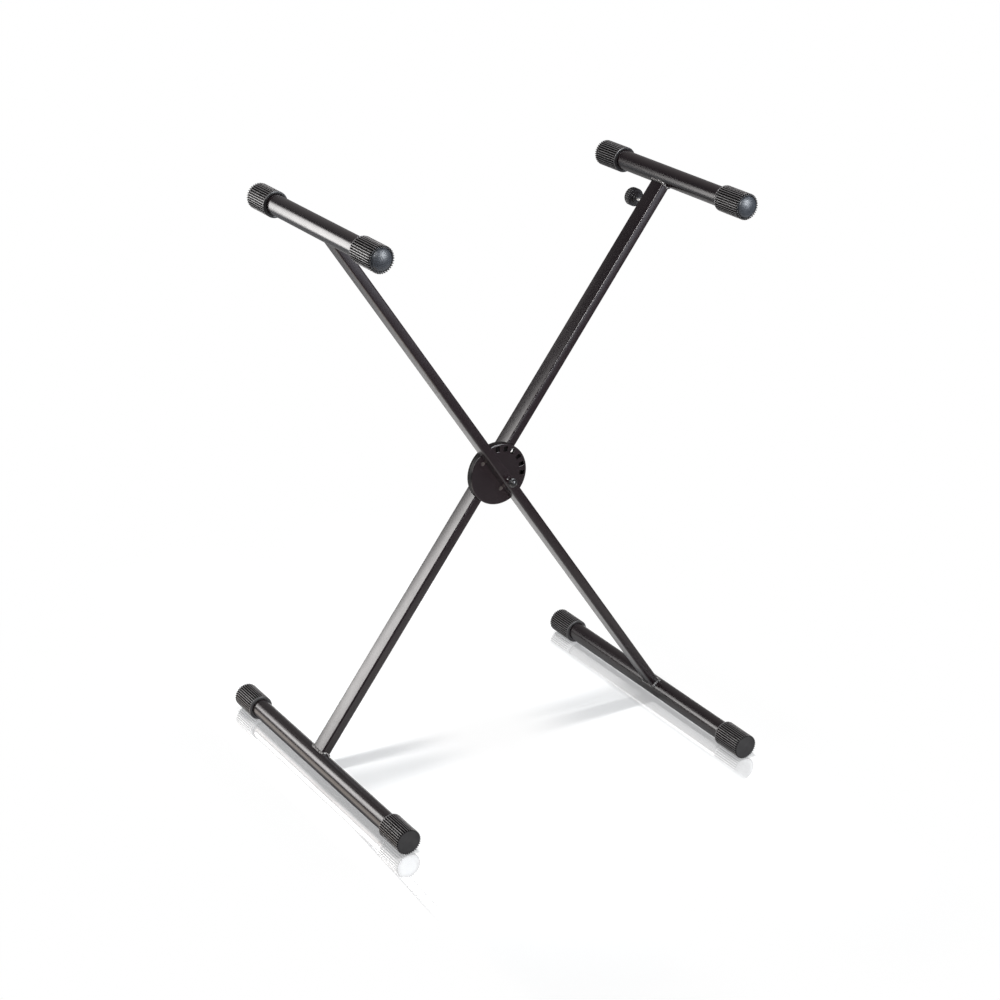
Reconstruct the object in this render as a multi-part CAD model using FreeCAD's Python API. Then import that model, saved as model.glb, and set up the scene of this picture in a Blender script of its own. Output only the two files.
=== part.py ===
import FreeCAD, Part
import math
import os

os.makedirs("parts", exist_ok=True)
V = FreeCAD.Vector

# Overall sizes, in millimetres. X is to the right, Y goes away from the player, Z is up.
spread = 300.0          # from the middle plane to each arm and foot axis
rise = 841.0            # foot axis up to arm axis
arm_half = 185.0        # middle plane to the outer edge of an arm sleeve
foot_half = 269.0       # middle plane to the flat end of a foot cap

# Tubes
tube_od = 30.0          # round arm and foot tube
tube_wall = 1.5
leg_w = 15.0            # leg tube across the swing plane
leg_d = 30.0            # leg tube along the pivot
leg_wall = 1.5
leg_corner = 2.5
leg_gap = 12.0          # free space between the two legs

# Ribbed rubber ends
cap_od = 39.4
cap_len = 55.0
rib_count = 34
rib_depth = 1.3
lip_len = 2.0           # smooth ring at the mouth
end_ring = 1.6          # smooth ring at the closed end
rib_run = 0.6           # slope between a ring and the rib roots
edge_round = 0.8
cap_floor = 5.0         # rubber between the tube end and the flat foot end
plug_od = 32.0          # head of the domed plug
plug_head = 4.0
plug_rise = 5.6
plug_shank = 18.0
plug_clear = 0.4        # ring gap around the plug head

# Weld beads
bead_h = 3.2
bead_toe = 2.6
tack_r = 3.3
tack_h = 1.9
tack_edge = 13.5        # disc edge to the middle of an upper weld head
tack_down = 21.0

# Index disc, a pressed dish with radial slots
disc_od = 97.0
disc_plate = 3.0
disc_rim = 3.0
disc_round = 2.6
cover_t = 1.5           # plate on the rear leg that closes the dish
slot_pitch = 20.0       # degrees between two working positions
slots_closer = 2        # positions with the legs closer than shown
slots_wider = 3         # positions with the legs wider than shown
fold_angle = 5.0        # between the legs when folded for carrying
slot_edge = 8.0         # disc edge to the middle of a slot
slot_len = 8.5
pin_d = 6.0
slot_side = 0.3         # pin to slot wall

# Pivot and release
axle_d = 8.0
axle_head_d = 12.6
axle_head_t = 2.0
run_clear = 0.08        # radial, turning and sliding fits
side_clear = 0.1        # axial, between turning faces
rim_clear = 0.5         # rim to cover plate
free_gap = 0.35         # loose faces that pass each other
spacer_od = 22.0
sleeve_od = 11.6
washer_od = 17.0
washer_t = 1.5
nut_af = 13.0
nut_h = 6.5
rod_d = 4.0
cross_d = 2.4
latch_t = 4.0
travel = 3.0
tip_gap = 0.4           # pin tip behind the slotted plate when released
spring_od = 9.0
spring_wire = 1.1
spring_turns = 6
stem_d = 6.0
knob_d = 14.6
knob_off = 7.0          # back of the button to the front leg
knob_t = 9.0

# Thumb screw at the back of the rear leg
thumb_down = 48.0       # below the arm axis, along the leg
thumb_d = 28.0
thumb_t = 11.0
thumb_hub_d = 16.0
thumb_hub_t = 5.0
thumb_off = 15.0        # leg to hub
thumb_flutes = 24
flute_depth = 1.1
screw_d = 6.0
screw_clear = 0.05
rivet_d = 9.0
rivet_flange_d = 12.0
rivet_flange_t = 1.0
rivet_in = 10.0
screw_in = 9.0

# Values that follow from the sizes above
tube_r = tube_od / 2
cap_r = cap_od / 2
half_leg = math.hypot(spread, rise / 2)
lean = math.degrees(math.atan2(spread, rise / 2))
pivot_z = cap_r + rise / 2
arm_z = cap_r + rise
front_y = -(leg_gap + leg_d) / 2
rear_y = -front_y
front_face = front_y - leg_d / 2
plate_y0 = front_y + leg_d / 2
plate_y1 = plate_y0 + disc_plate
rear_face0 = rear_y - leg_d / 2
rear_face1 = rear_y + leg_d / 2
cover_y0 = rear_face0 - cover_t
slot_w = pin_d + 2 * slot_side
slot_r = disc_od / 2 - slot_edge
tack_up = disc_od / 2 - tack_edge
bore_d = axle_d + 2 * run_clear
latch_y0 = rear_face0 + leg_wall + 0.5 + travel
latch_y1 = latch_y0 + latch_t
latch_w = leg_w - 2 * leg_wall - 2 * free_gap
cross_y = (latch_y0 + latch_y1) / 2
pin_tip = plate_y1 + tip_gap
head_y1 = front_face - side_clear
head_y0 = head_y1 - axle_head_t
nut_y0 = rear_face1 + washer_t
knob_y1 = front_face - knob_off
knob_y0 = knob_y1 - knob_t
thumb_z = half_leg - thumb_down
screw_y0 = rear_face1 - screw_in
hub_y0 = rear_face1 + thumb_off
thumb_y0 = hub_y0 + thumb_hub_t
thumb_y1 = thumb_y0 + thumb_t


def rod_y(r, y0, y1, x=0.0, z=0.0):
    return Part.makeCylinder(r, y1 - y0, V(x, y0, z), V(0, 1, 0))


def pipe_y(ro, ri, y0, y1, x=0.0, z=0.0):
    return rod_y(ro, y0, y1, x, z).cut(rod_y(ri, y0 - 1, y1 + 1, x, z))


def box(x0, x1, y0, y1, z0, z1):
    return Part.makeBox(x1 - x0, y1 - y0, z1 - z0, V(x0, y0, z0))


def round_rect(w, d, r, y, z):
    """Closed wire of a w by d rectangle with round corners, level, centred at y."""
    a, b, m = w / 2, d / 2, r * (1 - math.sqrt(0.5))
    e = []
    pts = [((a - r, -b), (a - m, -b + m), (a, -b + r)), ((a, b - r), (a - m, b - m), (a - r, b)),
           ((-a + r, b), (-a + m, b - m), (-a, b - r)), ((-a, -b + r), (-a + m, -b + m), (-a + r, -b))]
    pts = [[V(px, py + y, z) for px, py in c] for c in pts]
    for k in range(4):
        p, q = pts[k], pts[(k + 1) % 4]
        e.append(Part.Arc(*p).toShape())
        e.append(Part.LineSegment(p[2], q[0]).toShape())
    return Part.Wire(e)


def prism(w, d, r, y, z0, z1):
    return Part.Face(round_rect(w, d, r, y, z0)).extrude(V(0, 0, z1 - z0))


def turned(points):
    """Solid of revolution about Y from (radius, y) points; four numbers give an arc's middle and end."""
    e = []
    last = None
    for p in points:
        if last is None:
            last = V(p[0], p[1], 0)
            first = last
            continue
        if len(p) == 4:
            end = V(p[2], p[3], 0)
            e.append(Part.Arc(last, V(p[0], p[1], 0), end).toShape())
        else:
            end = V(p[0], p[1], 0)
            e.append(Part.LineSegment(last, end).toShape())
        last = end
    if (last - first).Length > 1e-6:
        e.append(Part.LineSegment(last, first).toShape())
    return Part.Face(Part.Wire(e)).revolve(V(0, 0, 0), V(0, 1, 0), 360)


def toothed(r, depth, count, y0, y1):
    """Prism along Y with straight-sided ribs."""
    pts = []
    step = 2 * math.pi / count
    for k in range(count):
        for part, rr in ((-0.36, r - depth), (-0.22, r), (0.22, r), (0.36, r - depth)):
            a = (k + part) * step
            pts.append(V(rr * math.cos(a), y0, rr * math.sin(a)))
    return Part.Face(Part.makePolygon(pts + pts[:1])).extrude(V(0, y1 - y0, 0))


def on_leg(shape, side):
    """Bring a shape from the upright leg frame onto the front (-1) or rear (+1) leg."""
    s = shape.copy()
    s.rotate(V(0, 0, 0), V(0, 1, 0), side * lean)
    s.translate(V(0, 0, pivot_z))
    return s


def save(shape, node):
    shape.exportStep("parts/" + node + ".step")


# Legs: rectangular tubes, their ends hollowed to sit on the round tubes
def leg_solid(y):
    return prism(leg_w, leg_d, leg_corner, y, -half_leg, half_leg)


def leg_tube(y):
    inner = prism(leg_w - 2 * leg_wall, leg_d - 2 * leg_wall, leg_corner - leg_wall, y, -half_leg, half_leg)
    s = leg_solid(y).cut(inner)
    for z in (-half_leg, half_leg):
        s = s.cut(rod_y(tube_r, y - leg_d, y + leg_d, 0, z))
    return s


front_leg = leg_tube(front_y).cut(rod_y(bore_d / 2, front_face - 1, plate_y0 + 1))
rear_leg = leg_tube(rear_y).cut(rod_y(axle_d / 2, rear_face0 - 1, rear_face1 + 1))
rear_leg = rear_leg.cut(rod_y(pin_d / 2 + run_clear, rear_face0 - 1, rear_y, 0, slot_r))
rear_leg = rear_leg.cut(rod_y(rivet_d / 2, rear_y, rear_face1 + 1, 0, thumb_z))
save(on_leg(front_leg, -1), "front_leg_tube")
save(on_leg(rear_leg, 1), "rear_leg_tube")


# Weld beads round the leg ends
def bead(y, top):
    toe_s = math.sqrt(tube_r ** 2 - (leg_w / 2 + bead_toe) ** 2)
    s0, s1 = toe_s - 0.5, tube_r + bead_h
    fat = bead_toe * (s1 - s0) / (s1 - toe_s)
    wires = [round_rect(leg_w + 2 * g, leg_d + 2 * g, leg_corner + g, y, half_leg - s)
             for g, s in ((fat, s0), (0.15, s1))]
    ring = Part.makeLoft(wires, True)
    ring = ring.cut(prism(leg_w, leg_d, leg_corner, y, half_leg - 2 * s1, half_leg + s1))
    ring = ring.cut(rod_y(tube_r, y - 2 * leg_d, y + 2 * leg_d, 0, half_leg))
    if not top:
        ring = ring.mirror(V(0, 0, 0), V(0, 0, 1))
    return ring


save(on_leg(bead(front_y, True), -1), "front_arm_weld")
save(on_leg(bead(front_y, False), -1), "front_foot_weld")
save(on_leg(bead(rear_y, True), 1), "rear_arm_weld")
save(on_leg(bead(rear_y, False), 1), "rear_foot_weld")

# Arm and foot tubes with their rubber ends
arm_end = arm_half - plug_head
foot_end = foot_half - cap_floor
core_r = cap_r - rib_depth


def ribbed_end(inside):
    """Rubber end, mouth at y = 0 and outer edge at y = cap_len; inside is the profile back to the tube."""
    e = edge_round
    m = e * (1 - math.sqrt(0.5))
    rib_end = cap_len - end_ring
    body = turned([(tube_r, 0), (cap_r - e, 0), (cap_r - m, m, cap_r, e), (cap_r, lip_len),
                   (core_r, lip_len + rib_run), (core_r, rib_end), (cap_r, rib_end + rib_run),
                   (cap_r, cap_len - e), (cap_r - m, cap_len - m, cap_r - e, cap_len)] + inside)
    ribs = toothed(cap_r - 0.05, rib_depth, rib_count, lip_len - 0.5, rib_end + 0.5)
    ribs = ribs.cut(rod_y(core_r - 0.5, 0, cap_len))
    return body.fuse(ribs).removeSplitter()


def sleeve():
    """Open sleeve for an arm, with a seat for the plug head."""
    bore = plug_od / 2 + plug_clear
    seat = cap_len - plug_head
    return ribbed_end([(bore, cap_len), (bore, seat), (tube_r, seat)])


def foot_cap():
    """Closed cap for a foot, with a flat end."""
    seat = cap_len - cap_floor
    return ribbed_end([(0, cap_len), (0, seat), (tube_r, seat)])


def plug():
    """Domed end plug, head seated at y = 0."""
    r, s = plug_od / 2, tube_r - tube_wall - 0.05
    ball = (r * r + plug_rise * plug_rise) / (2 * plug_rise)
    mid = plug_head + plug_rise - ball + math.sqrt(ball * ball - r * r / 4)
    return turned([(0, -plug_shank), (s - 1.5, -plug_shank), (s, -plug_shank + 3), (s, 0), (r, 0),
                   (r, plug_head), (r / 2, mid, 0, plug_head + plug_rise)])


def both_ends(shape, y, x, z):
    """The shape at the far end, and turned round at the near end."""
    far = shape.copy()
    far.translate(V(x, y, z))
    near = shape.copy()
    near.rotate(V(0, 0, 0), V(0, 0, 1), 180)
    near.translate(V(x, -y, z))
    return far, near


grip = sleeve()
dome = plug()
shoe = foot_cap()
for side, name in ((-1, "front"), (1, "rear")):
    x_arm, x_foot = side * spread, -side * spread
    save(pipe_y(tube_r, tube_r - tube_wall, -arm_end, arm_end, x_arm, arm_z), name + "_arm_tube")
    save(pipe_y(tube_r, tube_r - tube_wall, -foot_end, foot_end, x_foot, cap_r), name + "_foot_tube")
    for shape, y, x, z, node in ((grip, arm_half - cap_len, x_arm, arm_z, "_arm_sleeve_"),
                                 (dome, arm_end, x_arm, arm_z, "_arm_plug_"),
                                 (shoe, foot_half - cap_len, x_foot, cap_r, "_foot_cap_")):
        far, near = both_ends(shape, y, x, z)
        save(far, name + node + "far")
        save(near, name + node + "near")

# Index disc, in the front leg's frame: turned dish, then a slot for every position of the rear leg
ro, rr = disc_od / 2, disc_round
ri, rim_y = ro - disc_rim, cover_y0 - rim_clear
k = rr * (1 - math.sqrt(0.5))
dish = turned([(bore_d / 2, plate_y0), (ro - rr, plate_y0), (ro - k, plate_y0 + k, ro, plate_y0 + rr),
               (ro, rim_y - 0.6), (ro - 0.6, rim_y), (ri, rim_y), (ri, plate_y1), (bore_d / 2, plate_y1)])
angles = [fold_angle] + [2 * lean + slot_pitch * n for n in range(-slots_closer, slots_wider + 1)]
for a in angles:
    z0, z1 = slot_r - slot_len / 2, slot_r + slot_len / 2
    cut = box(-slot_w / 2, slot_w / 2, plate_y0 - 1, plate_y1 + 1, z0, z1)
    cut.rotate(V(0, 0, 0), V(0, 1, 0), a)
    dish = dish.cut(cut)
save(on_leg(dish, -1), "index_disc")

cover = pipe_y(disc_od / 2, axle_d / 2, cover_y0, rear_face0)
cover = cover.cut(rod_y(pin_d / 2 + run_clear, cover_y0 - 1, rear_face0 + 1, 0, slot_r))
save(on_leg(cover, 1), "cover_plate")

# Weld heads that hold the disc beside the front leg
blobs = []
for sx in (-1, 1):
    for z in (tack_up, -tack_down):
        head = turned([(0, plate_y0 - tack_h),
                       (tack_r * 0.55, plate_y0 - tack_h * 0.86, tack_r * 0.9, plate_y0 - tack_h * 0.45),
                       (tack_r, plate_y0), (0, plate_y0)])
        head.translate(V(sx * (leg_w / 2 + tack_r), 0, z))
        blobs.append(head)
save(on_leg(Part.makeCompound(blobs), -1), "disc_weld_tacks")

# Pivot: hollow axle fixed in the rear leg, sleeve and spacer on the front leg
window = box(-axle_d, axle_d, cross_y - travel - cross_d / 2 - free_gap, cross_y + cross_d / 2 + free_gap,
             -cross_d / 2 - free_gap, cross_d / 2 + free_gap)
h = axle_head_d / 2
nut_y1 = nut_y0 + nut_h
axle = turned([(0, head_y0), (h - 0.8, head_y0), (h, head_y0 + 0.8), (h, head_y1), (axle_d / 2, head_y1),
               (axle_d / 2, nut_y1 + 0.9), (axle_d / 2 - 0.6, nut_y1 + 1.5), (0, nut_y1 + 1.5)])
axle = axle.cut(rod_y(rod_d / 2 + run_clear, head_y0 - 1, nut_y1 + nut_h)).cut(window)
save(on_leg(axle, 1), "pivot_axle")
bush = pipe_y(sleeve_od / 2, bore_d / 2, front_face + leg_wall, plate_y0 - leg_wall)
spacer = pipe_y(spacer_od / 2, bore_d / 2, plate_y1, cover_y0 - side_clear)
washer = pipe_y(washer_od / 2, axle_d / 2, rear_face1, nut_y0)
nut_r = nut_af / math.sqrt(3)
corners = [n * math.pi / 3 for n in range(7)]
hexagon = Part.makePolygon([V(nut_r * math.cos(a), nut_y0, nut_r * math.sin(a)) for a in corners])
nut = Part.Face(hexagon).extrude(V(0, nut_h, 0)).cut(rod_y(axle_d / 2, nut_y0 - 1, nut_y1 + 1))
save(on_leg(bush, -1), "pivot_sleeve")
save(on_leg(spacer, -1), "pivot_spacer")
save(on_leg(washer, 1), "pivot_washer")
save(on_leg(nut, 1), "pivot_nut")

# Release: button, rod, cross pin, latch plate and lock pin slide together along the pivot
q = knob_d / 2
stop_y = head_y0 - 0.5
button = turned([(0, knob_y0), (q * 0.55, knob_y0 + 0.7, q * 0.9, knob_y0 + 2.8), (q, knob_y0 + 4.2),
                 (q, knob_y1 - 2.6), (q * 0.82, knob_y1 - 2.0), (q * 0.82, knob_y1), (rod_d / 2, knob_y1),
                 (rod_d / 2, knob_y0 + 3), (0, knob_y0 + 3)])
save(on_leg(button, 1), "release_button")
cross_hole = Part.makeCylinder(cross_d / 2, 2 * leg_w, V(-leg_w, cross_y, 0), V(1, 0, 0))
rod = turned([(0, knob_y0 + 3), (rod_d / 2, knob_y0 + 3), (rod_d / 2, knob_y1), (stem_d / 2, knob_y1),
              (stem_d / 2, stop_y), (rod_d / 2, stop_y), (rod_d / 2, latch_y1 + 2), (0, latch_y1 + 2)])
save(on_leg(rod.cut(cross_hole), 1), "release_rod")
cross_l = latch_w / 2 - 0.2
cross = Part.makeCylinder(cross_d / 2, 2 * cross_l, V(-cross_l, cross_y, 0), V(1, 0, 0))
save(on_leg(cross, 1), "release_cross_pin")
latch = box(-latch_w / 2, latch_w / 2, latch_y0, latch_y1, -axle_d, slot_r + pin_d)
latch = latch.cut(rod_y(axle_d / 2 + free_gap, latch_y0 - 1, latch_y1 + 1)).cut(cross_hole)
latch = latch.cut(rod_y(pin_d / 2, latch_y0 - 1, latch_y1 + 1, 0, slot_r))
save(on_leg(latch, 1), "latch_plate")
p = pin_d / 2
pin = turned([(0, pin_tip), (p - 0.8, pin_tip), (p, pin_tip + 0.8), (p, latch_y1), (0, latch_y1)])
pin.translate(V(0, 0, slot_r))
save(on_leg(pin, 1), "lock_pin")


def coil(y0, y1, z):
    """Open coil along Y made of quarter-turn arcs."""
    r = (spring_od - spring_wire) / 2
    y0, y1 = y0 + spring_wire / 2, y1 - spring_wire / 2
    n = 8 * spring_turns
    turn = math.pi / 4
    pts = [V(r * math.cos(turn * t), y0 + (y1 - y0) * t / n, z + r * math.sin(turn * t)) for t in range(n + 1)]
    path = Part.Wire([Part.Arc(pts[t], pts[t + 1], pts[t + 2]).toShape() for t in range(0, n, 2)])
    start = path.Edges[0].tangentAt(path.Edges[0].FirstParameter)
    ring = Part.Wire([Part.Circle(pts[0], start, spring_wire / 2).toShape()])
    return path.makePipeShell([ring], True, True)


spring = coil(latch_y1 + free_gap, rear_face1 - leg_wall - 0.05, slot_r)
save(on_leg(spring, 1), "release_spring")

# Thumb screw with its rivet nut in the rear leg
s = screw_d / 2
rivet_y0 = rear_face1 - rivet_in
rivet_y1 = rear_face1 + rivet_flange_t
rivet = turned([(s + screw_clear, rivet_y0), (rivet_d / 2, rivet_y0), (rivet_d / 2, rear_face1),
                (rivet_flange_d / 2, rear_face1), (rivet_flange_d / 2, rivet_y1),
                (s + screw_clear, rivet_y1)])
screw_y1 = thumb_y0 + thumb_t / 2
screw = turned([(0, screw_y0), (s - 0.6, screw_y0), (s, screw_y0 + 0.6), (s, screw_y1), (0, screw_y1)])
wheel = toothed(thumb_d / 2, flute_depth, thumb_flutes, thumb_y0, thumb_y1)
h = thumb_hub_d / 2
hub = turned([(0, hub_y0), (h - 0.8, hub_y0), (h, hub_y0 + 0.8), (h, thumb_y0 + 1), (0, thumb_y0 + 1)])
knob = wheel.fuse(hub).cut(rod_y(s, hub_y0 - 1, screw_y1))
for shape, node in ((rivet, "rivet_nut"), (screw, "thumb_screw"), (knob, "thumb_knob")):
    shape.translate(V(0, 0, thumb_z))
    save(on_leg(shape, 1), node)
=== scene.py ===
import math
import bpy
from mathutils import Matrix, Vector


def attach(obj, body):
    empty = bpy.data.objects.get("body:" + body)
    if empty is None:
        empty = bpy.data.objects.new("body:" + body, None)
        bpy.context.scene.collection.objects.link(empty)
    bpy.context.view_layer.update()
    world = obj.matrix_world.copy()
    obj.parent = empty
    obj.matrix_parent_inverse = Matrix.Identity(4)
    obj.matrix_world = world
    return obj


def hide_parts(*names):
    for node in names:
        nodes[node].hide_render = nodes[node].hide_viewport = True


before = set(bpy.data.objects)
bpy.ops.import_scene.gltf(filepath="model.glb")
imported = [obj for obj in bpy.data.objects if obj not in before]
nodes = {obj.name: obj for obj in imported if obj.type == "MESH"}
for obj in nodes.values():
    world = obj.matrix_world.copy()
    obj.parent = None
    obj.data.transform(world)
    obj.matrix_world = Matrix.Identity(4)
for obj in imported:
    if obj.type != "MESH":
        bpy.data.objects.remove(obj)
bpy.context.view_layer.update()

# Sizes in millimetres, the same as in the construction
SPREAD, RISE = 300.0, 841.0
TUBE_R, CAP_R, CAP_LEN = 15.0, 19.7, 55.0
LEG_W, LEG_D, LEG_R = 15.0, 30.0, 2.5
ARM_HALF, FOOT_HALF = 185.0, 269.0
FRONT_Y, REAR_Y = -21.0, 21.0
RIBS = 34
SEAT = 4.0              # the arm tube and the plug's shoulder lie this far inside the sleeve's end
CAP_END = 5.0           # thickness of the closed end of a foot cap
SLEEVE_BORE_R = 16.4    # bore of a sleeve around the plug
PLUG_R, PLUG_RISE = 16.0, 5.6
DISC_R, RIM_IN_R, PLATE_R, AXLE_HOLE_R = 48.5, 45.5, 46.9, 4.08
PLATE_Y, PLATE_T, RIM_Y = -6.0, 3.0, 4.0
SLOT_R, SLOT_W, SLOT_L, SLOT_ROUND = 40.5, 6.6, 8.5, 0.6
SLOT_PITCH, FOLDED = 20.0, 5.0    # degrees between slots, and of the folded stand
HEAD_X, HEAD_UP, HEAD_DOWN = 10.8, 35.0, -21.0
HALF_LEG = math.hypot(SPREAD, RISE / 2)
LEAN = math.atan2(SPREAD, RISE / 2)
PIVOT_Z = CAP_R + RISE / 2
ARM_Z = CAP_R + RISE
MM = 0.001


def leg_matrix(side):
    """Upright leg frame onto the front (-1) or rear (+1) leg."""
    return Matrix.Translation((0, 0, PIVOT_Z * MM)) @ Matrix.Rotation(side * LEAN, 4, "Y")


# Materials
class Graph:
    """Adds, fills and links the nodes of one material or world."""

    def __init__(self, owner):
        owner.use_nodes = True
        self.nodes, self.link = owner.node_tree.nodes, owner.node_tree.links.new

    def fill(self, node, values):
        """Inputs of a node, each linked to an output or set to a value."""
        for key, value in values.items():
            if hasattr(value, "is_output"):
                self.link(value, node.inputs[key])
            else:
                node.inputs[key].default_value = value
        return node

    def add(self, kind, **values):
        return self.fill(self.nodes.new(kind), values)

    def fold(self, operation, first, *more):
        """Values joined one after the other by an operation."""
        for value in more:
            n = self.nodes.new("ShaderNodeMath")
            n.operation = operation
            first = self.fill(n, {0: first, 1: value}).outputs[0]
        return first

    def absolute(self, value):
        n = self.nodes.new("ShaderNodeMath")
        n.operation = "ABSOLUTE"
        return self.fill(n, {0: value}).outputs[0]

    def measure(self, operation, *vectors):
        """Number from one or two vectors: a length, a distance or a dot product."""
        n = self.nodes.new("ShaderNodeVectorMath")
        n.operation = operation
        return self.fill(n, dict(enumerate(vectors))).outputs["Value"]

    def eased(self, value, x0, x1, y0, y1, curve="SMOOTHSTEP"):
        """From y0 at x0 to y1 at x1, level past both."""
        n = self.nodes.new("ShaderNodeMapRange")
        n.interpolation_type = curve
        values = {"Value": value, "From Min": x0, "From Max": x1, "To Min": y0, "To Max": y1}
        return self.fill(n, values).outputs["Result"]

    def straight(self, value, x0, x1, y0, y1):
        return self.eased(value, x0, x1, y0, y1, "LINEAR")

    def blend(self, fac, a, b):
        """Colour between a and b."""
        n = self.nodes.new("ShaderNodeMix")
        n.data_type = "RGBA"
        return self.fill(n, {"Factor": fac, "A": a, "B": b}).outputs["Result"]

    def ramp(self, value, steps, low, high):
        n = self.add("ShaderNodeValToRGB", Fac=value)
        for element, position, colour in zip(n.color_ramp.elements, steps, (low, high)):
            element.position = position
            element.color = (*colour, 1)
        return n.outputs["Color"]

    def emission(self, strength, colour=(1, 1, 1)):
        return self.add("ShaderNodeEmission", Color=(*colour, 1), Strength=strength).outputs[0]

    def mixed(self, fac, a, b):
        return self.fill(self.nodes.new("ShaderNodeMixShader"), {0: fac, 1: a, 2: b}).outputs[0]

    def summed(self, a, b):
        return self.fill(self.nodes.new("ShaderNodeAddShader"), {0: a, 1: b}).outputs[0]


def shader(name, base, rough, metallic=0.0, tint=None, noise=60.0, rough_var=0.12, bump=0.08, grain=900.0,
           spec=0.5, streak=(1.0, 1.0, 1.0), steps=(0.3, 0.75)):
    """Principled surface with a mottled colour, an uneven gloss and a fine grain."""
    mat = bpy.data.materials.new(name)
    g = Graph(mat)
    where = g.add("ShaderNodeTexCoord").outputs["Object"]
    cloud = g.add("ShaderNodeTexNoise", Vector=where, Scale=noise, Detail=6.0, Roughness=0.6)
    stretched = g.add("ShaderNodeMapping", Vector=where, Scale=streak)
    patches = g.add("ShaderNodeTexNoise", Vector=stretched.outputs["Vector"], Scale=noise * 2.7, Detail=4.0)
    fine = g.add("ShaderNodeTexNoise", Vector=where, Scale=grain, Detail=3.0)
    relief = g.add("ShaderNodeBump", Strength=bump, Distance=0.0004, Height=fine.outputs["Fac"])
    g.fill(g.nodes["Principled BSDF"], {
        "Base Color": g.ramp(cloud.outputs["Fac"], steps, base, tint or [c * 1.5 for c in base]),
        "Roughness": g.straight(patches.outputs["Fac"], 0.25, 0.75, rough - rough_var / 2, rough + rough_var / 2),
        "Metallic": metallic,
        "Specular IOR Level": spec,
        "Normal": relief.outputs["Normal"],
    })
    return mat


RIB_GROOVE_R, RIB_TOP_R = 18.6, 19.4    # below the first a rib is all groove, above the second all top
# Painted shade makes the grooves near black, and a painted sheen makes the rib tops lighter
GROOVE_SHADE_COLOUR, RIB_SHEEN_COLOUR = (0.0016, 0.0015, 0.0015, 1), (0.110, 0.103, 0.104, 1)
GROOVE_SPEC, RIB_SPEC = 0.03, 0.5


def rubber(name, base, tint, face_spec):
    """Ribbed rubber: grooves black and dull as painted shade, rib tops lighter as a painted sheen, mouth and end face
    in the plain colour.
    """
    mat = shader(name, base, 0.32, noise=90, rough_var=0.06, bump=0.0, tint=tint)
    g = Graph(mat)
    axes = g.add("ShaderNodeSeparateXYZ", Vector=g.nodes["Texture Coordinate"].outputs["Object"]).outputs
    across = g.add("ShaderNodeCombineXYZ", X=axes["X"], Y=axes["Z"]).outputs[0]
    top = g.eased(g.measure("LENGTH", across), RIB_GROOVE_R * MM, RIB_TOP_R * MM, 0.0, 1.0)
    face = g.straight(axes["Y"], (CAP_LEN - 0.5) * MM, (CAP_LEN - 0.3) * MM, 0.0, 1.0)
    mouth = g.straight(axes["Y"], 0.6 * MM, 0.4 * MM, 0.0, 1.0)
    ends = g.fold("MAXIMUM", face, mouth)
    raised = g.fold("MAXIMUM", top, ends)
    # The rib surfaces take the lighter colour as a painted sheen; the mouth and end face keep the plain colour
    skin = g.blend(ends, RIB_SHEEN_COLOUR, g.nodes["Color Ramp"].outputs["Color"])
    raised_spec = g.straight(face, 0.0, 1.0, RIB_SPEC, face_spec)
    g.fill(g.nodes["Principled BSDF"], {
        "Base Color": g.blend(raised, GROOVE_SHADE_COLOUR, skin),
        "Specular IOR Level": g.straight(raised, 0.0, 1.0, GROOVE_SPEC, raised_spec),
    })
    return mat


PAINT = shader("black_paint", (0.0098, 0.0056, 0.0066), 0.24, noise=18, rough_var=0.04, bump=0.0,
               tint=(0.0132, 0.0082, 0.0092))
# Black paint made darker and duller on the disc's rim side, as painted shade
RIM_SIDE_SHADE_PAINT = shader("disc_side_painted_shade", (0.0060, 0.0046, 0.0050), 0.45, noise=40, rough_var=0.1, bump=0.03, spec=0.12)
# Black weld bead with light grey flecks painted on as glints
WELD_GLINT_PAINT = shader("black_weld_painted_glints", (0.012, 0.0105, 0.011), 0.26, noise=420, rough_var=0.16, bump=0.5, grain=450,
              tint=(0.40, 0.38, 0.37), steps=(0.47, 0.57))
# Weld heads painted lighter brown-grey than the black paint, as a sheen where they catch light
LIT_HEAD_PAINT = shader("weld_head_painted_sheen", (0.040, 0.033, 0.030), 0.45, noise=200, rough_var=0.2, bump=0.3, grain=600,
              tint=(0.075, 0.063, 0.057))
# Black paint darkened and dulled as painted shade, for the cover plate
CAVITY = shader("shaded_plate", (0.0045, 0.0038, 0.0039), 0.6, rough_var=0.1, bump=0.05, spec=0.2)
CAP_RUBBER = rubber("cap_rubber", (0.046, 0.0440, 0.0445), (0.060, 0.0580, 0.0585), 0.08)
SLEEVE_RUBBER = rubber("sleeve_rubber", (0.008, 0.0074, 0.0076), (0.013, 0.0122, 0.0125), RIB_SPEC)
PLUG = shader("plug_plastic", (0.022, 0.0245, 0.0295), 0.42, noise=70, rough_var=0.08, bump=0.02, grain=1200,
              tint=(0.032, 0.0355, 0.042))
KNOB = shader("knob_plastic", (0.007, 0.0062, 0.0066), 0.34, noise=110, rough_var=0.10, bump=0.02, grain=1400)
ZINC = shader("zinc_steel", (0.62, 0.62, 0.60), 0.28, metallic=1.0, noise=160, rough_var=0.18, bump=0.06,
              tint=(0.78, 0.78, 0.76), streak=(1, 8, 1))
PIN = shader("pin_steel", (0.62, 0.58, 0.55), 0.45, metallic=0.4, noise=600, rough_var=0.2, bump=0.1,
             tint=(0.82, 0.78, 0.75))
ROD = shader("rod_steel", (0.20, 0.195, 0.19), 0.36, metallic=1.0, noise=140, rough_var=0.18, bump=0.06,
             tint=(0.28, 0.275, 0.27))
NYLON = shader("nylon", (0.05, 0.05, 0.052), 0.5, noise=80, bump=0.06)


# Shapes
def add_object(name, data):
    o = bpy.data.objects.new(name, data)
    bpy.context.scene.collection.objects.link(o)
    return o


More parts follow.
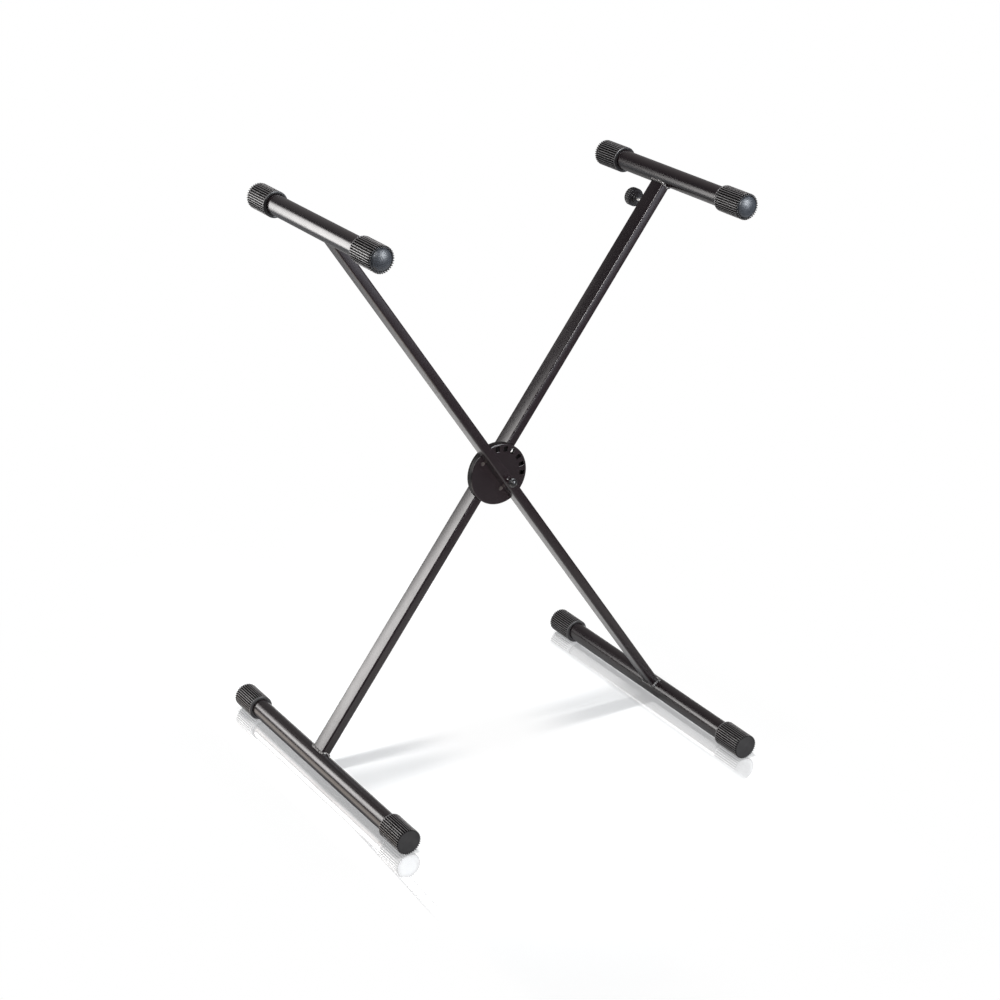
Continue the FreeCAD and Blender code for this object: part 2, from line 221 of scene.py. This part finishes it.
def smooth(me, sharp):
    """Smooth shading, with edges sharper than an angle in degrees left sharp."""
    me.polygons.foreach_set("use_smooth", [True] * len(me.polygons))
    me.update()
    me.set_sharp_from_angle(angle=math.radians(sharp))


def add_mesh(name, verts, faces, mat, sharp):
    """Mesh from points in millimetres."""
    me = bpy.data.meshes.new(name)
    me.from_pydata([Vector(v) * MM for v in verts], [], faces)
    smooth(me, sharp)
    me.materials.append(mat)
    return me


def place(name, me, matrix, body, slot, *stand_for):
    """Piece on a body, shown in place of the nodes it stands for."""
    o = add_object(name, me)
    o.matrix_world = matrix
    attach(o, body)
    if stand_for:
        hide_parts(*stand_for)


def arc(cx, cy, r, a0, a1, n):
    """Points (radius, y) on a small round, angles in degrees, 0 outward and 90 along +Y."""
    angles = [math.radians(a0 + (a1 - a0) * k / n) for k in range(n + 1)]
    return [(cx + r * math.cos(a), cy + r * math.sin(a)) for a in angles]


def lathe(name, profile, mat, segs, shape=None, sharp=35.0):
    """Turned about Y from (radius, y) points; shape(angle, radius, y) may change the radius."""
    verts, faces, rings = [], [], []
    for r, y in profile:
        if r < 1e-6:
            rings.append([len(verts)])
            verts.append((0, y, 0))
            continue
        ring = []
        for k in range(segs):
            a = 2 * math.pi * k / segs
            rr = shape(a, r, y) if shape else r
            ring.append(len(verts))
            verts.append((rr * math.cos(a), y, rr * math.sin(a)))
        rings.append(ring)
    for p, q in zip(rings, rings[1:]):
        for k in range(segs):
            j = (k + 1) % segs
            if len(p) == 1:
                faces.append((p[0], q[k], q[j]))
            elif len(q) == 1:
                faces.append((p[k], q[0], p[j]))
            else:
                faces.append((p[k], q[k], q[j], p[j]))
    return add_mesh(name, verts, faces, mat, sharp)


def rounded_loop(w, d, r, n=6):
    """Corner-rounded rectangle, (x, y) points in order."""
    x, y = w / 2 - r, d / 2 - r
    pts = []
    for cx, cy, a0 in ((x, -y, -90), (x, y, 0), (-x, y, 90), (-x, -y, 180)):
        for k in range(n + 1):
            a = math.radians(a0 + 90 * k / n)
            pts.append((cx + r * math.cos(a), cy + r * math.sin(a)))
    return pts


# Legs: they end inside the cross tubes
LEG_SHORT, LEG_STEPS = 12.0, 24


def leg_mesh(name, y):
    loop = rounded_loop(LEG_W, LEG_D, LEG_R)
    n = len(loop)
    top = HALF_LEG - LEG_SHORT
    levels = [-top + 2 * top * k / LEG_STEPS for k in range(LEG_STEPS + 1)]
    verts = [(px, py + y, z) for z in levels for px, py in loop]
    faces = []
    for i in range(LEG_STEPS):
        for k in range(n):
            j = (k + 1) % n
            faces.append((i * n + k, i * n + j, (i + 1) * n + j, (i + 1) * n + k))
    return add_mesh(name, verts, faces, PAINT, 60)


place("front_leg_vis", leg_mesh("front_leg_vis", FRONT_Y), leg_matrix(-1), "front_leg", "black_paint",
      "front_leg_tube")
place("rear_leg_vis", leg_mesh("rear_leg_vis", REAR_Y), leg_matrix(1), "rear_leg", "black_paint", "rear_leg_tube")

# Weld beads: a rippled ring laid along the seam of leg and round tube
BEAD_R, BEAD_OUT, BEAD_SINK, BEAD_STEP, BEAD_SIDES = 1.7, 0.7, 0.3, 0.8, 12


def ripple(i):
    """Thickness of the bead at step i: an even ripple and two slower, weaker ones."""
    return BEAD_R * (1.0 + 0.14 * math.sin(2 * math.pi * i / 4.2) + 0.08 * math.sin(i * 0.31)
                     + 0.05 * math.sin(i * 0.83 + 1.7))


def bead_mesh(name, y, top):
    loop = [Vector(p) for p in rounded_loop(LEG_W + 2 * BEAD_OUT, LEG_D + 2 * BEAD_OUT, LEG_R + BEAD_OUT, 8)]
    path = []
    for a, b in zip(loop, loop[1:] + loop[:1]):
        steps = max(1, int((b - a).length / BEAD_STEP))
        path += [a + (b - a) * k / steps for k in range(steps)]
    seam = [Vector((p.x, p.y + y, HALF_LEG - math.sqrt(TUBE_R ** 2 - p.x ** 2) - BEAD_SINK)) for p in path]
    n, m = len(seam), BEAD_SIDES
    verts, faces = [], []
    for i in range(n):
        t = (seam[(i + 1) % n] - seam[i - 1]).normalized()
        out = Vector((seam[i].x, seam[i].y - y, 0))
        u = (out - t * out.dot(t)).normalized()
        v = t.cross(u)
        r = ripple(i)
        for k in range(m):
            a = 2 * math.pi * k / m
            verts.append(seam[i] + u * (r * math.cos(a)) + v * (r * 1.25 * math.sin(a)))
    for i in range(n):
        for k in range(m):
            h, j = (i + 1) % n, (k + 1) % m
            faces.append((i * m + k, h * m + k, h * m + j, i * m + j))
    if not top:
        verts = [(p.x, p.y, -p.z) for p in verts]
        faces = [f[::-1] for f in faces]
    return add_mesh(name, verts, faces, WELD_GLINT_PAINT, 80)


for side, name, y in ((-1, "front", FRONT_Y), (1, "rear", REAR_Y)):
    for end, top in (("arm", True), ("foot", False)):
        key = f"{name}_{end}_weld"
        place(key + "_vis", bead_mesh(key + "_vis", y, top), leg_matrix(side), name + "_leg", "black_paint", key)

# Arm and foot tubes
TUBE_WALL, TUBE_EDGE, TUBE_STEPS = 1.5, 0.4, 16


def tube_mesh(name, half):
    prof = [(TUBE_R - TUBE_WALL, -half)] + arc(TUBE_R - TUBE_EDGE, -half + TUBE_EDGE, TUBE_EDGE, -90, 0, 3)
    prof += [(TUBE_R, -half + 2 * half * k / TUBE_STEPS) for k in range(1, TUBE_STEPS)]
    prof += arc(TUBE_R - TUBE_EDGE, half - TUBE_EDGE, TUBE_EDGE, 0, 90, 3) + [(TUBE_R - TUBE_WALL, half)]
    return lathe(name, prof, PAINT, 96)


# Ribbed ends, mouth at y = 0
RIB_START, RIB_RUN_IN, RIB_DEPTH = 1.6, 0.8, 2.0
CAP_ROUND, CAP_HOLLOW, CAP_FLAT = 1.0, 0.12, 2.4


def ribs(a, r, y):
    """Rounded ribs with grooves nearly as wide as the ribs."""
    if r < CAP_R - 2.1 or y < RIB_START:
        return r
    groove = 0.5 - 0.5 * math.tanh(3.2 * (math.cos(a * RIBS) - 0.05))
    return r - RIB_DEPTH * groove * min(1.0, (y - RIB_START) / RIB_RUN_IN)


def cap_profile(closed):
    """Outer skin of a ribbed end."""
    e, end = CAP_ROUND, CAP_LEN
    p = [(TUBE_R + 0.02, 3.0), (TUBE_R + 0.02, 0.5), (TUBE_R + 0.5, 0.0)]
    p += arc(CAP_R - e, e, e, -90, 0, 5)
    p += [(CAP_R, y) for y in (1.4, RIB_START, 2.0, CAP_FLAT)]
    p += [(CAP_R, CAP_FLAT + (end - CAP_FLAT - e) * k / 6) for k in range(1, 6)]
    p += arc(CAP_R - e, end - e, e, 0, 90, 5)
    if closed:
        p += [(CAP_R - 2.2, end)] + [(r, end - CAP_HOLLOW) for r in (CAP_R - 2.6, CAP_R - 9, 4.0, 0)]
    else:
        p += arc(SLEEVE_BORE_R + 0.5, end - 0.5, 0.5, 90, 180, 3)
        p += [(SLEEVE_BORE_R, end - SEAT), (TUBE_R - 1, end - SEAT)]
    return p


def plug_profile():
    """Shoulder of a plug and its dome, part of a ball."""
    edge, steps = 0.25, 12
    ball = (PLUG_R ** 2 + PLUG_RISE ** 2) / (2 * PLUG_RISE)
    centre = SEAT + PLUG_RISE - ball
    p = [(13.0, 0.0), (PLUG_R, 0.0), (PLUG_R, SEAT - 0.6)]
    for k in range(steps + 1):
        q = (PLUG_R - edge) * (1 - k / steps)
        p.append((q, centre + math.sqrt(ball * ball - q * q) - (edge if k == 0 else 0)))
    return p


grip = lathe("grip", cap_profile(False), SLEEVE_RUBBER, RIBS * 12, ribs, 50)
shoe = lathe("shoe", cap_profile(True), CAP_RUBBER, RIBS * 12, ribs, 50)
dome = lathe("dome", plug_profile(), PLUG, 96)
arm_tube = tube_mesh("arm_tube", ARM_HALF - SEAT)
foot_tube = tube_mesh("foot_tube", FOOT_HALF - CAP_END)
TURN = Matrix.Rotation(math.pi, 4, "Z")
for side, name in ((-1, "front"), (1, "rear")):
    body = name + "_leg"
    arm = Matrix.Translation((side * SPREAD * MM, 0, ARM_Z * MM))
    foot = Matrix.Translation((-side * SPREAD * MM, 0, CAP_R * MM))
    place(name + "_arm_vis", arm_tube, arm, body, "black_paint", name + "_arm_tube")
    place(name + "_foot_vis", foot_tube, foot, body, "black_paint", name + "_foot_tube")
    for end, turn in (("far", Matrix.Identity(4)), ("near", TURN)):
        for me, y, at, part, slot in ((grip, ARM_HALF - CAP_LEN, arm, "arm_sleeve", "rubber"),
                                      (dome, ARM_HALF - SEAT, arm, "arm_plug", "plug_plastic"),
                                      (shoe, FOOT_HALF - CAP_LEN, foot, "foot_cap", "rubber")):
            key = f"{name}_{part}_{end}"
            place(key + "_vis", me, at @ turn @ Matrix.Translation((0, y * MM, 0)), body, slot, key)


# Slotted disc: a pierced plate inside a turned rim, in the front leg's frame
def ring_points(r, n):
    return [(r * math.cos(2 * math.pi * k / n), r * math.sin(2 * math.pi * k / n)) for k in range(n)]


def plate_mesh(name, outlines, y0, y1, edge, mat):
    """Flat plate across Y with rounded edges and holes, from (x, z) outlines."""
    cu = bpy.data.curves.new(name, "CURVE")
    cu.dimensions, cu.fill_mode = "2D", "BOTH"
    for pts in outlines:
        sp = cu.splines.new("POLY")
        sp.points.add(len(pts) - 1)
        for q, (x, z) in zip(sp.points, pts):
            q.co = (x * MM, z * MM, 0, 1)
        sp.use_cyclic_u = True
    cu.extrude = ((y1 - y0) / 2 - edge) * MM
    cu.bevel_depth, cu.bevel_resolution, cu.offset = edge * MM, 2, -edge * MM
    tmp = add_object(name, cu)
    me = bpy.data.meshes.new_from_object(tmp.evaluated_get(bpy.context.evaluated_depsgraph_get()))
    bpy.data.objects.remove(tmp)
    me.transform(Matrix.Translation((0, (y0 + y1) / 2 * MM, 0)) @ Matrix.Rotation(math.pi / 2, 4, "X"))
    smooth(me, 40)
    me.materials.clear()
    me.materials.append(mat)
    return me


outlines = [ring_points(PLATE_R, 160), ring_points(AXLE_HOLE_R, 32)]
for deg in [FOLDED] + [2 * math.degrees(LEAN) + SLOT_PITCH * k for k in range(-2, 4)]:
    c, s = math.cos(math.radians(deg)), math.sin(math.radians(deg))
    outlines.append([(x * c + (z + SLOT_R) * s, -x * s + (z + SLOT_R) * c)
                     for x, z in rounded_loop(SLOT_W, SLOT_L, SLOT_ROUND, 3)])
disc = plate_mesh("disc_plate_vis", outlines, PLATE_Y, PLATE_Y + PLATE_T, 0.25, PAINT)
rim = lathe("disc_rim_vis", [(DISC_R - 0.05, PLATE_Y + 1.2), (DISC_R, PLATE_Y + 1.4), (DISC_R, -0.5)]
            + arc(DISC_R - 0.6, RIM_Y - 0.6, 0.6, 0, 90, 4)
            + [(RIM_IN_R + 0.5, RIM_Y), (RIM_IN_R, RIM_Y - 0.5), (RIM_IN_R, PLATE_Y + 2.9)], RIM_SIDE_SHADE_PAINT, 160)
edge = lathe("disc_edge_vis", [(RIM_IN_R - 0.2, PLATE_Y + 2.9), (RIM_IN_R - 0.2, PLATE_Y + 0.03)]
             + arc(DISC_R - 1.3, PLATE_Y + 1.33, 1.3, -90, 0, 10) + [(DISC_R, PLATE_Y + 1.4)], PAINT, 160)
for name, me in (("disc_edge_vis", edge), ("disc_plate_vis", disc), ("disc_rim_vis", rim)):
    place(name, me, leg_matrix(-1), "front_leg", "black_paint", "index_disc")


def lumpy(a, r, y):
    return r * (1 + 0.05 * math.sin(3 * a + r) + 0.03 * math.sin(7 * a))


head = lathe("weld_head", [(3.3, 0.0), (3.25, -0.5), (3.0, -1.0), (2.5, -1.45), (1.8, -1.75), (0.9, -1.88), (0, -1.9)],
             LIT_HEAD_PAINT, 28, lumpy, 60)
for k, (x, z) in enumerate(((-HEAD_X, HEAD_UP), (HEAD_X, HEAD_UP), (-HEAD_X, HEAD_DOWN), (HEAD_X, HEAD_DOWN))):
    place(f"weld_head_{k}", head, leg_matrix(-1) @ Matrix.Translation((x * MM, PLATE_Y * MM, z * MM)), "front_leg",
          "black_paint", "disc_weld_tacks")

# Release button: domed head with a collar
B0, B1 = -52.0, -43.0
button = lathe("button", [(0, B0), (1.6, B0 + 0.12), (3.2, B0 + 0.55), (4.6, B0 + 1.3), (5.6, B0 + 2.3),
                          (6.2, B0 + 3.5), (6.35, B0 + 4.4), (6.3, B0 + 4.8)]
               + arc(6.8, B0 + 5.5, 0.5, -90, 0, 4) + arc(6.8, B1 - 1.6, 0.5, 0, 90, 4)
               + [(6.2, B1 - 1.0), (5.6, B1 - 0.4), (5.3, B1), (3.0, B1)], KNOB, 48)
place("button_vis", button, leg_matrix(1), "release", "knob_plastic", "release_button")

# Thumb screw: fluted knob with a hub, and a threaded shank
T0, THUMB_DOWN = 36.0, 48.0
HUB0, FL0, FL1 = T0 + 15.0, T0 + 20.0, T0 + 31.0
KNOB_R, FLUTES, FLUTE_DEPTH = 14.0, 24, 1.05
SCREW_R, SCREW_END, THREAD_PITCH, THREAD_DEPTH = 3.0, 27.0, 1.0, 0.42


def flutes(a, r, y):
    if r < 12.0:
        return r
    run = max(0.0, min(1.0, (y - FL0 - 0.6) / 0.8, (FL1 - 0.6 - y) / 0.8))
    return r - FLUTE_DEPTH * run * (0.5 - 0.5 * math.tanh(2.4 * (math.cos(FLUTES * a) + 0.15)))


def thread(a, r, y):
    turn = (y / THREAD_PITCH - a / (2 * math.pi)) % 1.0
    return r - THREAD_DEPTH * abs(2 * turn - 1) if r > 2.9 else r


knob = lathe("thumb_knob_vis", [(3.0, HUB0), (7.2, HUB0)] + arc(7.2, HUB0 + 0.8, 0.8, -90, 0, 4)
             + [(8.0, FL0 - 0.8), (8.4, FL0 - 0.2), (9.2, FL0), (12.4, FL0)]
             + arc(KNOB_R - 1.0, FL0 + 1.0, 1.0, -70, 0, 4)
             + [(KNOB_R, y) for y in (FL0 + 1.6, FL0 + 3, FL0 + 5.5, FL1 - 3, FL1 - 1.6)]
             + arc(KNOB_R - 1.0, FL1 - 1.0, 1.0, 0, 80, 4)
             + [(12.0, FL1), (10.4, FL1), (9.8, FL1 - 0.6), (9.4, FL1 - 1.0), (4.0, FL1 - 1.0), (0, FL1 - 0.8)],
             KNOB, 240, flutes, 50)
screw = lathe("thumb_screw_vis", [(0, SCREW_END), (2.3, SCREW_END)]
              + [(SCREW_R, SCREW_END + 0.5 + 0.25 * k) for k in range(115)], ZINC, 32, thread, 80)
at = leg_matrix(1) @ Matrix.Translation((0, 0, (HALF_LEG - THUMB_DOWN) * MM))
place("thumb_knob_vis", knob, at, "thumb", "knob_plastic", "thumb_knob")
place("thumb_screw_vis", screw, at, "thumb", "zinc_steel", "thumb_screw")

# Finish of the construction's own pieces that stay shown; the cover plate's is black paint darkened as painted shade
FINISH = {"pivot_axle": PAINT, "cover_plate": CAVITY, "lock_pin": PIN, "pivot_spacer": NYLON, "release_rod": ROD}
for name, piece in nodes.items():
    piece.data.materials.clear()
    piece.data.materials.append(FINISH.get(name, ZINC))

# Floor, in metres
FLOOR_HALF = 30
FOOT_LINE = (SPREAD + TUBE_R) * MM    # outer side of the foot tubes
GLOW, MIRROR_GAIN, POLISH = 0.26, 3.2, 0.54
fl = bpy.data.meshes.new("floor")
corners = [(x * FLOOR_HALF, y * FLOOR_HALF, 0) for x, y in ((-1, -1), (1, -1), (1, 1), (-1, 1))]
fl.from_pydata(corners, [], [(0, 1, 2, 3)])
floor = add_object("floor", fl)
fm = bpy.data.materials.new("floor")
g = Graph(fm)
g.nodes.remove(g.nodes["Principled BSDF"])
matte = g.add("ShaderNodeBsdfDiffuse", Color=(0.80, 0.80, 0.80, 1)).outputs[0]
mirror = g.add("ShaderNodeBsdfGlossy", Color=(MIRROR_GAIN, MIRROR_GAIN, MIRROR_GAIN, 1), Roughness=0.04).outputs[0]
path = g.add("ShaderNodeLightPath").outputs
spot = g.add("ShaderNodeTexCoord").outputs["Object"]
axes = g.add("ShaderNodeSeparateXYZ", Vector=spot).outputs
x, y = axes["X"], axes["Y"]
off_x, off_y = g.absolute(x), g.absolute(y)
beside = g.absolute(g.fold("SUBTRACT", off_x, FOOT_LINE))
along = g.eased(off_y, 0.36, 0.46, 1.0, 0.0)
far = g.eased(g.measure("LENGTH", spot), 0.5, 0.95, 0.0, 1.0)

# The feet are mirrored close beside them, on the left of each foot and past its near end
left_foot = g.eased(x, -0.305, -0.285, 1.0, 0.0)
right_foot = g.fold("MULTIPLY", g.eased(x, 0.12, 0.18, 0.0, 1.0), g.eased(x, 0.295, 0.315, 1.0, 0.0))
near_end = g.eased(y, -0.275, -0.262, 1.0, 0.0)
facing = g.fold("MAXIMUM", left_foot, right_foot, near_end)
polish = g.fold("MULTIPLY", g.eased(beside, 0.045, 0.065, POLISH, 0.0), along, facing)

# The shadow of the legs fades between the feet, and the arms leave none outside them
left_side = g.fold("MULTIPLY", g.eased(beside, 0.012, 0.05, 0.0, 0.65), g.eased(beside, 0.05, 0.20, 1.0, 0.0),
                   along, g.eased(x, -0.31, -0.28, 1.0, 0.0))
middle = g.eased(off_x, 0.03, 0.19, 0.95, 0.0)
outside = g.eased(off_x, 0.315, 0.36, 0.0, 0.97)
calm = g.fold("MAXIMUM", left_side, middle, outside)
near = g.mixed(polish, g.mixed(calm, matte, g.emission(1.0 - GLOW)), mirror)
shown = g.mixed(far, g.summed(near, g.emission(GLOW)), g.emission(1.0))

# In reflections the floor glows with painted light: warm near the stand, dim further out and cool under the front
# light
around = g.measure("DISTANCE", spot, (0.0, 0.55, 0.0))
warm_left = g.fold("MULTIPLY", g.eased(x, -0.345, -0.32, 1.8, 0.0), g.eased(x, -0.85, -0.5, 0.0, 1.0),
                   g.eased(off_y, 0.32, 0.7, 1.0, 0.0))
warm_near = g.fold("MULTIPLY", g.eased(beside, 0.01, 0.09, 0.0, 1.0), g.eased(around, 0.95, 1.7, 0.16, 0.0))
warm = g.emission(g.fold("ADD", warm_left, warm_near), (1.0, 0.87, 0.76))
front = g.fold("ADD", g.eased(y, -2.85, -2.5, 2.6, 0.0), g.eased(y, -3.4, -2.9, 1.6, 0.0))
front_width = g.eased(g.absolute(g.fold("SUBTRACT", x, 1.7)), 1.0, 1.7, 1.0, 0.0)
back_pool = g.eased(g.measure("DISTANCE", spot, (-1.25, 1.9, 0.0)), 0.3, 1.1, 0.7, 0.0)
cool = g.emission(g.fold("ADD", g.fold("MULTIPLY", front, front_width), 0.12, back_pool), (0.85, 0.90, 1.0))
shade = g.fold("MULTIPLY", g.eased(beside, 0.0, 0.07, 0.7, 0.0), g.eased(x, -0.345, -0.32, 0.0, 1.0))
reach = g.fold("MAXIMUM", g.eased(around, 0.95, 1.7, 0.0, 1.0), g.eased(y, 0.75, 1.5, 0.0, 0.7), shade)
mirrored = g.mixed(reach, g.summed(matte, warm), cool)
unseen = g.mixed(path["Is Glossy Ray"], matte, mirrored)
g.link(g.mixed(path["Is Camera Ray"], unseen, shown), g.nodes["Material Output"].inputs["Surface"])
fm.cycles.emission_sampling = "NONE"
fl.materials.append(fm)

# World: white past the floor, even light for the floor, and a dim room in reflections, lighter towards the back
world = bpy.data.worlds.new("studio")
bpy.context.scene.world = world
g = Graph(world)
even = g.fill(g.nodes["Background"], {"Color": (1, 1, 1, 1), "Strength": 0.32}).outputs[0]
sky = g.add("ShaderNodeBackground", Color=(1, 1, 1, 1), Strength=1.0).outputs[0]
backward = g.measure("DOT_PRODUCT", g.add("ShaderNodeTexCoord").outputs["Generated"], (0.46, 0.76, 0.46))
walls = g.ramp(backward, (0.55, 0.92), (0.10, 0.105, 0.125), (0.30, 0.30, 0.30))
room = g.add("ShaderNodeBackground", Color=walls).outputs[0]
path = g.add("ShaderNodeLightPath").outputs
unseen = g.mixed(path["Is Glossy Ray"], even, room)
g.link(g.mixed(path["Is Camera Ray"], unseen, sky), g.nodes["World Output"].inputs["Surface"])


# Lights
def aim_at(o, loc, aim):
    o.location = loc
    o.rotation_mode = "QUATERNION"
    o.rotation_quaternion = (Vector(aim) - Vector(loc)).to_track_quat("-Z", "Y")


def softbox(name, loc, aim, size, power, colour=(1, 1, 1), shadow=False, spread=180):
    """Lamp that lights surfaces and is not seen itself, in reflections either."""
    d = bpy.data.lights.new(name, "AREA")
    d.shape = "RECTANGLE"
    d.size, d.size_y = size
    d.energy, d.color, d.use_shadow, d.spread = power, colour, shadow, math.radians(spread)
    o = add_object(name, d)
    aim_at(o, loc, aim)
    o.visible_camera = o.visible_glossy = False


def card(name, loc, aim, size, colour, strength, fades):
    """Glowing panel that only reflections see; each fade is (axis, from, to, level, level) across the panel."""
    me = bpy.data.meshes.new(name)
    hx, hy = size[0] / 2, size[1] / 2
    me.from_pydata([(-hx, -hy, 0), (hx, -hy, 0), (hx, hy, 0), (-hx, hy, 0)], [], [(0, 3, 2, 1)])
    mat = bpy.data.materials.new(name)
    g = Graph(mat)
    g.nodes.remove(g.nodes["Principled BSDF"])
    axes = g.add("ShaderNodeSeparateXYZ", Vector=g.add("ShaderNodeTexCoord").outputs["Object"]).outputs
    levels = [g.eased(axes[axis], *fade) for axis, *fade in fades]
    light = g.emission(g.fold("MULTIPLY", *levels, strength), colour)
    g.link(light, g.nodes["Material Output"].inputs["Surface"])
    mat.cycles.emission_sampling = "FRONT"
    me.materials.append(mat)
    o = add_object(name, me)
    aim_at(o, loc, aim)
    o.visible_camera = o.visible_diffuse = o.visible_shadow = o.visible_transmission = False


WARM_WHITE, COOL_WHITE = (1, 0.98, 0.97), (0.92, 0.96, 1.0)
FRONT_AT, FRONT_AIM, FRONT_SIZE = (1.1, -2.7, 1.7), (0.1, 0, 0.9), (1.2, 1.2)
softbox("overhead", (0.0, 0.05, 3.2), (0, 0.05, 0), (0.22, 0.22), 49, shadow=True)
softbox("front_fill", FRONT_AT, FRONT_AIM, FRONT_SIZE, 14, COOL_WHITE, spread=44)

# Tall panel at the back left, a dimmer one beside its lower part and a faint one behind the pivot
card("back_left", (-1.12, 1.28, 0.86), (-1.12, 0.0, 0.86), (0.78, 1.24), WARM_WHITE, 11.0,
     (("X", -0.31, -0.14, 0.0, 1.0), ("Y", -0.62, -0.42, 0.0, 1.0), ("Y", 0.44, 0.58, 1.0, 0.0)))
card("back_left_low", (-0.70, 1.27, 0.58), (-0.70, 0.0, 0.58), (0.20, 0.76), WARM_WHITE, 3.3,
     (("X", -0.10, 0.04, 0.0, 1.0), ("Y", -0.38, -0.20, 0.0, 1.0), ("Y", 0.28, 0.38, 1.0, 0.0)))
card("back_mid", (-0.32, 1.28, 1.09), (-0.32, 0.0, 1.09), (0.32, 0.40), WARM_WHITE, 0.9,
     (("X", -0.16, -0.06, 0.0, 1.0), ("Y", -0.20, -0.10, 0.0, 1.0), ("Y", 0.10, 0.20, 1.0, 0.0)))
# Front light at the right, and a small high one at the left that glints in the domes
card("front_right", FRONT_AT, FRONT_AIM, FRONT_SIZE, COOL_WHITE, 35.0,
     (("X", -0.6, -0.5, 0.6, 1.0), ("Y", -0.6, -0.5, 0.6, 1.0)))
card("flash", (-1.6, -1.8, 2.3), (0.2, 0, 0.72), (0.6, 0.6), (1, 1, 1), 45.0, (("X", -0.3, -0.2, 0.6, 1.0),))

# Camera, solved from the outlines in the photograph
CAMERA_AT = (-1.736283, -2.818163, 1.729314)
YAW, PITCH, ROLL = math.radians(31.768), math.radians(23.326), math.radians(1.331)
IMAGE_PX, FOCAL_PX, BELOW_CENTRE_PX, SENSOR_MM = 1000.0, 2344.307, 57.0, 36.0
fw = Vector((math.sin(YAW) * math.cos(PITCH), math.cos(YAW) * math.cos(PITCH), -math.sin(PITCH)))
rt = Vector((math.cos(YAW), -math.sin(YAW), 0))
up = rt.cross(fw)
rt, up = math.cos(ROLL) * rt + math.sin(ROLL) * up, -math.sin(ROLL) * rt + math.cos(ROLL) * up
cd = bpy.data.cameras.new("camera")
cd.sensor_width = SENSOR_MM
cd.lens = FOCAL_PX * SENSOR_MM / IMAGE_PX
cd.shift_y = BELOW_CENTRE_PX / IMAGE_PX
cam = add_object("camera", cd)
m = Matrix((rt, up, -fw)).transposed().to_4x4()
m.translation = CAMERA_AT
cam.matrix_world = m
bpy.context.scene.camera = cam
bpy.context.scene.view_settings.view_transform = "Standard"
